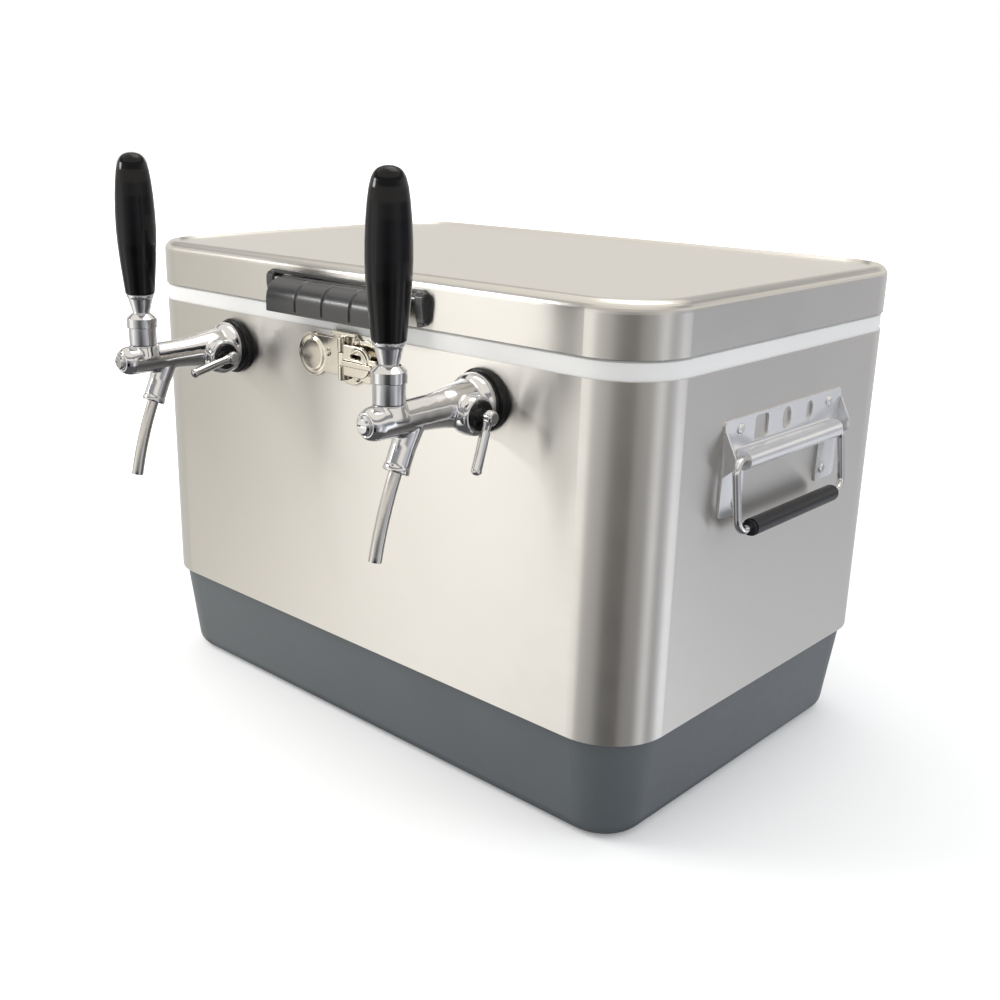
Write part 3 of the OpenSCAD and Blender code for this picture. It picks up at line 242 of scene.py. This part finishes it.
# surface effects that the finishes share; size and cells are counts per metre
effects = {"grainLines": {"stretch": (8, 8, 900), "detail": 3, "ragged": 0.65},
           "mottle": {"size": 20, "sharpness": 1, "detail": 4, "halfWidth": 0.28},
           "mouldGrain": {"cells": 900}}


def newGroup(name, inputs, outputs):
    tree = bpy.data.node_groups.new(name, "ShaderNodeTree")
    for label, kind, value in inputs:
        socket = tree.interface.new_socket(label, in_out="INPUT", socket_type=kind)
        socket.default_value = value
    for label, kind in outputs:
        tree.interface.new_socket(label, in_out="OUTPUT", socket_type=kind)
    return tree, tree.nodes.new("NodeGroupInput"), tree.nodes.new("NodeGroupOutput")


def buildGrainLines(values):
    # fine parallel lines left by a sanding belt; Stretch holds lines per metre along each axis
    entries = [("Stretch", "NodeSocketVector", values["stretch"]),
               ("Detail", "NodeSocketFloat", values["detail"])]
    tree, entry, leave = newGroup("grainLines", entries, [("Lines", "NodeSocketFloat")])
    coord = addNode(tree, "ShaderNodeTexCoord")
    scale = addNode(tree, "ShaderNodeVectorMath", operation="MULTIPLY")
    noise = addNode(tree, "ShaderNodeTexNoise")
    noise.inputs["Scale"].default_value = 1
    noise.inputs["Roughness"].default_value = values["ragged"]
    wire(tree, (coord.outputs["Object"], scale.inputs[0]), (entry.outputs["Stretch"], scale.inputs[1]),
         (scale.outputs[0], noise.inputs["Vector"]), (entry.outputs["Detail"], noise.inputs["Detail"]),
         (noise.outputs["Fac"], leave.inputs["Lines"]))
    return tree


def buildMottle(values):
    # soft clouds: handling marks, uneven plating, moulding flow
    entries = [("Size", "NodeSocketFloat", values["size"]),
               ("Sharpness", "NodeSocketFloat", values["sharpness"])]
    tree, entry, leave = newGroup("mottle", entries, [("Mottle", "NodeSocketFloat")])
    coord = addNode(tree, "ShaderNodeTexCoord")
    noise = addNode(tree, "ShaderNodeTexNoise")
    noise.inputs["Detail"].default_value = values["detail"]
    spread = addNode(tree, "ShaderNodeMapRange", interpolation_type="SMOOTHSTEP")
    half = math2(tree, "DIVIDE", values["halfWidth"], entry.outputs["Sharpness"])
    wire(tree, (coord.outputs["Object"], noise.inputs["Vector"]),
         (entry.outputs["Size"], noise.inputs["Scale"]),
         (noise.outputs["Fac"], spread.inputs["Value"]),
         (math2(tree, "SUBTRACT", 0.5, half), spread.inputs["From Min"]),
         (math2(tree, "ADD", 0.5, half), spread.inputs["From Max"]),
         (spread.outputs[0], leave.inputs["Mottle"]))
    return tree


def buildMouldGrain(values):
    # fine grain of a plastic mould, from small cells
    entries = [("Cells", "NodeSocketFloat", values["cells"])]
    tree, entry, leave = newGroup("mouldGrain", entries, [("Grain", "NodeSocketFloat")])
    coord = addNode(tree, "ShaderNodeTexCoord")
    cells = addNode(tree, "ShaderNodeTexVoronoi")
    wire(tree, (coord.outputs["Object"], cells.inputs["Vector"]),
         (entry.outputs["Cells"], cells.inputs["Scale"]),
         (cells.outputs["Distance"], leave.inputs["Grain"]))
    return tree


groups = {"grainLines": buildGrainLines(effects["grainLines"]), "mottle": buildMottle(effects["mottle"]),
          "mouldGrain": buildMouldGrain(effects["mouldGrain"])}


def useGroup(tree, name, **values):
    made = addNode(tree, "ShaderNodeGroup", node_tree=groups[name])
    for key, value in values.items():
        made.inputs[key].default_value = value
    return made.outputs[0]


# finishes: color, metal and rough are the plain finish; lines: sanding grain; mottle: clouds per metre;
# stain: how much the clouds darken; roughSpread: how much they change the gloss; lineTint and lineRough: the
# same for the lines; soften: radius of worn edges; bumps and radii in metres
finishes = {
    "bodySteel": {"color": (0.81, 0.795, 0.76), "metal": 1, "rough": 0.30, "lines": (5, 5, 1100),
                  "mottle": 9, "stain": 0.03, "roughSpread": 0.04, "lineRough": 0.025, "lineTint": 0.06,
                  "aniso": 0.95},
    "lidSteel": {"color": (0.80, 0.785, 0.745), "metal": 1, "rough": 0.30, "lines": (5, 700, 900),
                 "mottle": 9, "stain": 0.03, "roughSpread": 0.04, "lineRough": 0.025, "lineTint": 0.06,
                 "aniso": 0.85},
    "pressedSteel": {"color": (0.90, 0.905, 0.92), "metal": 0.70, "rough": 0.24, "soften": 0.0007,
                     "lines": (900, 14, 900), "mottle": 40, "stain": 0.04, "roughSpread": 0.03,
                     "lineRough": 0.02, "lineTint": 0.05},
    "brightWire": {"color": (0.84, 0.84, 0.85), "metal": 1, "rough": 0.16, "soften": 0.0006, "mottle": 60,
                   "stain": 0.06, "roughSpread": 0.1},
    "tapChrome": {"color": (0.80, 0.805, 0.82), "metal": 1, "rough": 0.10, "mottle": 45, "stain": 0.05,
                  "roughSpread": 0.06, "soften": 0.0006},
    "satinChrome": {"color": (0.76, 0.765, 0.79), "metal": 1, "rough": 0.2, "mottle": 45, "stain": 0.05,
                    "roughSpread": 0.08, "soften": 0.0012},
    "tubeSteel": {"color": (0.74, 0.73, 0.71), "metal": 1, "rough": 0.2, "lines": (700, 700, 40),
                  "mottle": 60, "stain": 0.1, "roughSpread": 0.08, "lineRough": 0.06, "lineTint": 0.22,
                  "lineBump": 0.000002},
    "warmNickel": {"color": (0.84, 0.79, 0.69), "metal": 1, "rough": 0.12, "mottle": 60, "stain": 0.1,
                   "roughSpread": 0.1},
    "yellowBrass": {"color": (0.72, 0.62, 0.40), "metal": 1, "rough": 0.25, "mottle": 70, "stain": 0.15,
                    "roughSpread": 0.14},
    "zincSteel": {"color": (0.66, 0.665, 0.67), "metal": 1, "rough": 0.32, "mottle": 80, "stain": 0.14,
                  "roughSpread": 0.15},
    "drawnTube": {"color": (0.72, 0.725, 0.72), "metal": 1, "rough": 0.24, "mottle": 50, "stain": 0.12,
                  "roughSpread": 0.12},
    "greyMoulding": {"color": (0.114, 0.130, 0.141), "rough": 0.40, "soften": 0.0015, "mottle": 14,
                     "stain": 0.1, "roughSpread": 0.08, "cells": 1500, "cellBump": 0.00003},
    "whiteMoulding": {"color": (0.92, 0.92, 0.90), "rough": 0.32, "mottle": 16, "stain": 0.03,
                      "roughSpread": 0.1, "cells": 500, "cellBump": 0.00001},
    "glossBlack": {"color": (0.006, 0.006, 0.007), "rough": 0.13, "mottle": 50, "stain": 0.3,
                   "roughSpread": 0.06, "shine": 0.28},
    "satinBlack": {"color": (0.010, 0.010, 0.011), "rough": 0.24, "soften": 0.0008, "shine": 0.4,
                   "mottle": 60, "stain": 0.3, "roughSpread": 0.12, "cells": 2400, "cellBump": 0.000002},
    "latchEnamel": {"color": (0.024, 0.025, 0.028), "rough": 0.30, "mottle": 50, "stain": 0.2,
                    "roughSpread": 0.06, "coat": 1.0, "coatRough": 0.24},
    "gripRubber": {"color": (0.010, 0.012, 0.018), "rough": 0.36, "mottle": 60, "stain": 0.3,
                   "roughSpread": 0.14, "cells": 2000, "cellBump": 0.000004},
    "rigidFoam": {"color": (0.80, 0.72, 0.45), "rough": 0.8, "mottle": 60, "stain": 0.2, "roughSpread": 0.1,
                  "cells": 700, "cellBump": 0.0003},
    "clearHose": {"color": (0.80, 0.84, 0.82), "rough": 0.18, "mottle": 40, "stain": 0.08,
                  "roughSpread": 0.08, "transmission": 0.55},
}
# what all finishes share: a second, finer layer of clouds, the shade of the lines and where smearing starts
wear = {"fineTimes": 7.0, "fineSharpness": 1.6, "cloudShare": 0.65, "fineShare": 0.35, "lineShade": 0.72,
        "edgeSamples": 6, "smearTurn": 0.25, "flatFace": 0.5, "uprightFace": 0.1}


def buildFinish(name, values):
    mat = bpy.data.materials.new(name)
    mat.use_nodes = True
    tree = mat.node_tree
    shader = tree.nodes["Principled BSDF"]
    shader.inputs["Metallic"].default_value = values.get("metal", 0)
    if "coat" in values:
        shader.inputs["Coat Weight"].default_value = values["coat"]
        shader.inputs["Coat Roughness"].default_value = values["coatRough"]
    if "shine" in values:
        shader.inputs["Specular IOR Level"].default_value = values["shine"]
    if "transmission" in values:
        shader.inputs["Transmission Weight"].default_value = values["transmission"]
    if "aniso" in values:  # upright faces smear reflections up and down, flat ones don't
        facing = addNode(tree, "ShaderNodeNewGeometry")
        normalParts = addNode(tree, "ShaderNodeSeparateXYZ")
        wire(tree, (facing.outputs["True Normal"], normalParts.inputs[0]))
        slope = math2(tree, "ABSOLUTE", normalParts.outputs[2])
        upright = rangeOf(tree, slope, wear["flatFace"], wear["uprightFace"])
        wire(tree, (math2(tree, "MULTIPLY", upright, values["aniso"]), shader.inputs["Anisotropic"]))
        shader.inputs["Anisotropic Rotation"].default_value = wear["smearTurn"]
    clouds = useGroup(tree, "mottle", Size=values["mottle"])
    fine = useGroup(tree, "mottle", Size=values["mottle"] * wear["fineTimes"],
                    Sharpness=wear["fineSharpness"])
    dark = tuple(c * (1 - values["stain"]) for c in values["color"])
    color = mixColor(tree, clouds, dark, values["color"])
    rough = math2(tree, "ADD", values["rough"] - values["roughSpread"] * 0.5,
                  math2(tree, "MULTIPLY", clouds, values["roughSpread"] * wear["cloudShare"]))
    rough = math2(tree, "ADD", rough,
                  math2(tree, "MULTIPLY", fine, values["roughSpread"] * wear["fineShare"]))
    height = None
    if "lines" in values:
        lines = useGroup(tree, "grainLines", Stretch=values["lines"])
        swing = math2(tree, "SUBTRACT", lines, 0.5)
        rough = math2(tree, "ADD", rough, math2(tree, "MULTIPLY", swing, values["lineRough"] * 2))
        shaded = tuple(c * wear["lineShade"] for c in values["color"])
        color = mixColor(tree, math2(tree, "MULTIPLY", lines, values["lineTint"]), color, shaded)
        height, depth = lines, values.get("lineBump", 0)
    if "cells" in values:
        height, depth = useGroup(tree, "mouldGrain", Cells=values["cells"]), values["cellBump"]
    normal = None
    if "soften" in values:  # worn, rounded edges
        edge = addNode(tree, "ShaderNodeBevel", samples=wear["edgeSamples"])
        edge.inputs["Radius"].default_value = values["soften"]
        normal = edge.outputs[0]
        wire(tree, (normal, shader.inputs["Normal"]))
    if height is not None and depth > 0:
        bump = addNode(tree, "ShaderNodeBump")
        bump.inputs["Strength"].default_value = 1
        bump.inputs["Distance"].default_value = depth
        if normal is not None:
            wire(tree, (normal, bump.inputs["Normal"]))
        wire(tree, (height, bump.inputs["Height"]), (bump.outputs[0], shader.inputs["Normal"]))
    wire(tree, (color, shader.inputs["Base Color"]), (rough, shader.inputs["Roughness"]))
    return mat


materials = {name: buildFinish(name, values) for name, values in finishes.items()}

sides = ("right", "left")


def bothSides(*stems):
    return [stem + side for side in sides for stem in stems]


dressed = {
    "bodySteel": ["outer_shell"],
    "lidSteel": ["lid_shell"],
    "whiteMoulding": ["inner_liner", "lid_liner", "drain_spout", "drain_plug"],
    "greyMoulding": ["base_tub"],
    "rigidFoam": ["case_foam", "lid_foam"],
    "zincSteel": ["hinge_body_leaves", "hinge_lid_leaves", "hinge_pins", "hinge_body_screws",
                  "hinge_lid_screws", "latch_pin", "catch_pin", "hose_clamps"],
    "latchEnamel": ["latch_frame", "latch_handle"],
    "warmNickel": ["catch_base", "catch_lever", "catch_rivets"],
    "tapChrome": ["tap_shanks", "front_plugs", "inlet_shanks"]
                 + bothSides("tap_body_", "flow_lever_", "tap_lever_", "piston_"),
    "satinChrome": bothSides("bonnet_", "ferrule_"),
    "yellowBrass": ["shank_nuts", "tail_barbs"],
    "satinBlack": ["wall_flanges", "drain_gasket"] + bothSides("flow_gland_"),
    "glossBlack": bothSides("tap_handle_"),
    "tubeSteel": bothSides("spout_"),
    "pressedSteel": bothSides("handle_plate_"),
    "brightWire": bothSides("bail_") + ["handle_screws"],
    "gripRubber": bothSides("grip_"),
    "drawnTube": bothSides("coil_"),
    "clearHose": ["tap_hoses", "inlet_hoses"],
}


def dress(obj, mat):
    obj.data.materials.clear()
    obj.data.materials.append(mat)


weld = 1e-6  # corners closer than this are one


def selectOnly(*objs):
    bpy.ops.object.select_all(action="DESELECT")
    for obj in objs:
        obj.select_set(True)
    bpy.context.view_layer.objects.active = objs[0]


def copyNode(nodeName, pieceName):
    piece = bpy.data.objects.new(pieceName, nodes[nodeName].data.copy())
    scene.collection.objects.link(piece)
    selectOnly(piece)
    bpy.ops.object.mode_set(mode="EDIT")
    bpy.ops.mesh.select_all(action="SELECT")
    bpy.ops.mesh.remove_doubles(threshold=weld)
    bpy.ops.object.mode_set(mode="OBJECT")
    return piece


def joined(*objs):
    selectOnly(*objs)
    bpy.ops.object.join()
    return bpy.context.object


def settle(obj):  # place goes into the mesh
    selectOnly(obj)
    bpy.ops.object.transform_apply(location=True, rotation=True, scale=True)


def turned(place, turn, rings, corners=64):  # rings: how far along, and the radius there
    bpy.ops.object.select_all(action="DESELECT")
    bpy.ops.mesh.primitive_circle_add(vertices=corners, radius=rings[0][1], fill_type="NGON", location=place,
                                      rotation=[math.radians(a) for a in turn])
    obj = bpy.context.object
    settle(obj)
    tip = Matrix.Rotation(math.radians(turn[0]), 3, "X")
    swing = Matrix.Rotation(math.radians(turn[1]), 3, "Y")
    axis = swing @ tip @ Vector((0, 0, 1))
    bpy.ops.object.mode_set(mode="EDIT")
    bpy.ops.mesh.select_all(action="SELECT")
    for (lastAlong, lastRadius), (along, radius) in zip(rings, rings[1:]):
        bpy.ops.mesh.extrude_region_move(TRANSFORM_OT_translate={"value": axis * (along - lastAlong)})
        middle = Vector(place) + axis * (along - rings[0][0])
        bpy.ops.transform.resize(value=(radius / lastRadius,) * 3, center_override=middle)
    bpy.ops.mesh.select_all(action="SELECT")
    bpy.ops.mesh.normals_make_consistent(inside=False)
    bpy.ops.object.mode_set(mode="OBJECT")
    return obj


def softBlock(low, high, width, segments):  # a block with rounded edges
    bpy.ops.object.select_all(action="DESELECT")
    low, high = Vector(low), Vector(high)
    bpy.ops.mesh.primitive_cube_add(size=1, location=(low + high) / 2, scale=high - low)
    obj = bpy.context.object
    settle(obj)
    bpy.ops.object.mode_set(mode="EDIT")
    bpy.ops.mesh.select_all(action="SELECT")
    bpy.ops.mesh.bevel(offset=width, segments=segments, profile=0.5, affect="EDGES")
    bpy.ops.object.mode_set(mode="OBJECT")
    return obj


def applyModifier(obj, kind, **props):
    selectOnly(obj)
    bpy.ops.object.modifier_add(type=kind)
    modifier = obj.modifiers[-1]
    for key, value in props.items():
        setattr(modifier, key, value)
    bpy.ops.object.modifier_apply(modifier=modifier.name)


def cast(obj, grain, rounds, keep=1.0):  # melts the joined shapes into one smooth casting
    applyModifier(obj, "REMESH", mode="VOXEL", voxel_size=grain, adaptivity=0)
    applyModifier(obj, "SMOOTH", factor=0.5, iterations=rounds)
    if keep < 1:
        applyModifier(obj, "DECIMATE", ratio=keep)
    selectOnly(obj)
    bpy.ops.object.shade_smooth()


def finishPiece(obj, name, finishName, body, slotName, *stoodFor):
    obj.name = name
    obj.data.name = name
    dress(obj, materials[finishName])
    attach(obj, body)
    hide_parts(*stoodFor)


for finishName, members in dressed.items():
    for member in members:
        dress(nodes[member], materials[finishName])
print("finishes on", sum(len(m) for m in dressed.values()), "nodes")

# tap bodies: the plain body with a flared bell and a flow cup, melted into one casting
tapCast = {"x": 0.155, "flangeFace": -0.2082, "line": 0.342, "flowY": -0.228, "flowZ": 0.3375,
           "grain": 0.0008, "rounds": 7,
           "bell": [(0, 0.0226), (0.003, 0.0225), (0.0065, 0.0212), (0.0105, 0.0186), (0.0155, 0.0162),
                    (0.022, 0.0148), (0.030, 0.0138)],
           "flowCup": [(0, 0.0135), (0.004, 0.0150), (0.008, 0.0156), (0.013, 0.0155), (0.0168, 0.0147),
                       (0.0182, 0.0134)], "flowStart": 0.0052}


def buildTapCast(values):
    body = copyNode("tap_body_right", "tapCastRight")
    bell = turned((values["x"], values["flangeFace"], values["line"]), (90, 0, 0), values["bell"])
    cup = turned((values["x"] + values["flowStart"], values["flowY"], values["flowZ"]), (0, 90, 0),
                 values["flowCup"])
    body = joined(body, bell, cup)
    cast(body, values["grain"], values["rounds"])
    return body


tapRight = buildTapCast(tapCast)
tapLeft = bpy.data.objects.new("tapCastLeft", tapRight.data.copy())
scene.collection.objects.link(tapLeft)
tapLeft.location.x = -2 * tapCast["x"]
settle(tapLeft)
finishPiece(tapRight, "tapCastRight", "tapChrome", "case", "chrome", "tap_body_right")
finishPiece(tapLeft, "tapCastLeft", "tapChrome", "case", "chrome", "tap_body_left")
print("tap castings", len(tapRight.data.polygons), "faces each")

# latch: a rounded block trims the handle's ends, and the hook behind it is added back
latch = {"half": 0.097, "front": -0.2266, "back": -0.15, "low": 0.3803, "high": 0.4260, "round": 0.0085,
         "roundSteps": 8, "hookHalf": 0.016, "hookOut": (-0.2086, -0.2052), "hookLow": 0.3832,
         "hookTop": 0.398, "hookRound": 0.0006, "hookSteps": 2, "grain": 0.0006, "rounds": 9, "keep": 0.4}


def buildLatchHandle(values):
    handle = copyNode("latch_handle", "latchHandle")
    limit = softBlock((-values["half"], values["front"], values["low"]),
                      (values["half"], values["back"], values["high"] + values["round"]),
                      values["round"], values["roundSteps"])
    applyModifier(handle, "BOOLEAN", operation="INTERSECT", object=limit, solver="EXACT")
    bpy.data.objects.remove(limit)
    hook = softBlock((-values["hookHalf"], values["hookOut"][0], values["hookLow"]),
                     (values["hookHalf"], values["hookOut"][1], values["hookTop"]),
                     values["hookRound"], values["hookSteps"])
    handle = joined(handle, hook)
    cast(handle, values["grain"], values["rounds"], values["keep"])
    return handle


handlePiece = buildLatchHandle(latch)
finishPiece(handlePiece, "latchHandle", "latchEnamel", "latch", "latch_body", "latch_handle")
latchArch = copyNode("latch_frame", "latchArch")
cast(latchArch, latch["grain"], latch["rounds"], latch["keep"])
finishPiece(latchArch, "latchArch", "latchEnamel", "lid", "latch_grey", "latch_frame")
print("latch", len(handlePiece.data.polygons), len(latchArch.data.polygons), "faces")

# tap handles
tapHandle = {"grain": 0.0008, "rounds": 10}
for side in sides:
    knob = copyNode("tap_handle_" + side, "tapHandle" + side.capitalize())
    cast(knob, tapHandle["grain"], tapHandle["rounds"])
    finishPiece(knob, knob.name, "glossBlack", "lever_" + side, "black_gloss", "tap_handle_" + side)
print("tap handles done")

# turned, bent and pressed pieces: finish, slot, and the angle in degrees past which an edge stays crisp
edgeWeight = 80
fineWork = {
    "case": [("spout_", "tubeSteel", "spout_steel", 50), ("bonnet_", "satinChrome", "chrome", 28),
             ("handle_plate_", "pressedSteel", "handle_steel", 25),
             ("coil_", "drawnTube", "coil_steel", 50)],
    "lever_": [("ferrule_", "satinChrome", "chrome", 28)],
    "flow_control_": [("flow_lever_", "tapChrome", "chrome", 35)],
    "bail_swing_": [("bail_", "brightWire", "bail_steel", 50)],
}
for body, rows in fineWork.items():
    for stem, finishName, slotName, angle in rows:
        for side in sides:
            piece = copyNode(stem + side, stem.replace("_", "") + "Fine" + side.capitalize())
            selectOnly(piece)
            bpy.ops.object.shade_smooth_by_angle(angle=math.radians(angle))
            applyModifier(piece, "WEIGHTED_NORMAL", keep_sharp=True, weight=edgeWeight)
            finishPiece(piece, piece.name, finishName, body + side if body.endswith("_") else body, slotName,
                        stem + side)
print("turned and pressed pieces done")

# catch fitting on the front
catch = {"grain": 0.00045, "rounds": 5, "keep": 0.8,
         "pieces": (("catch_base", "catchPlate", "case"), ("catch_lever", "catchTurn", "catch_arm"))}
for nodeName, pieceName, body in catch["pieces"]:
    fitting = copyNode(nodeName, pieceName)
    cast(fitting, catch["grain"], catch["rounds"], catch["keep"])
    finishPiece(fitting, pieceName, "warmNickel", body, "catch_nickel", nodeName)
    print(pieceName, len(fitting.data.polygons), "faces")
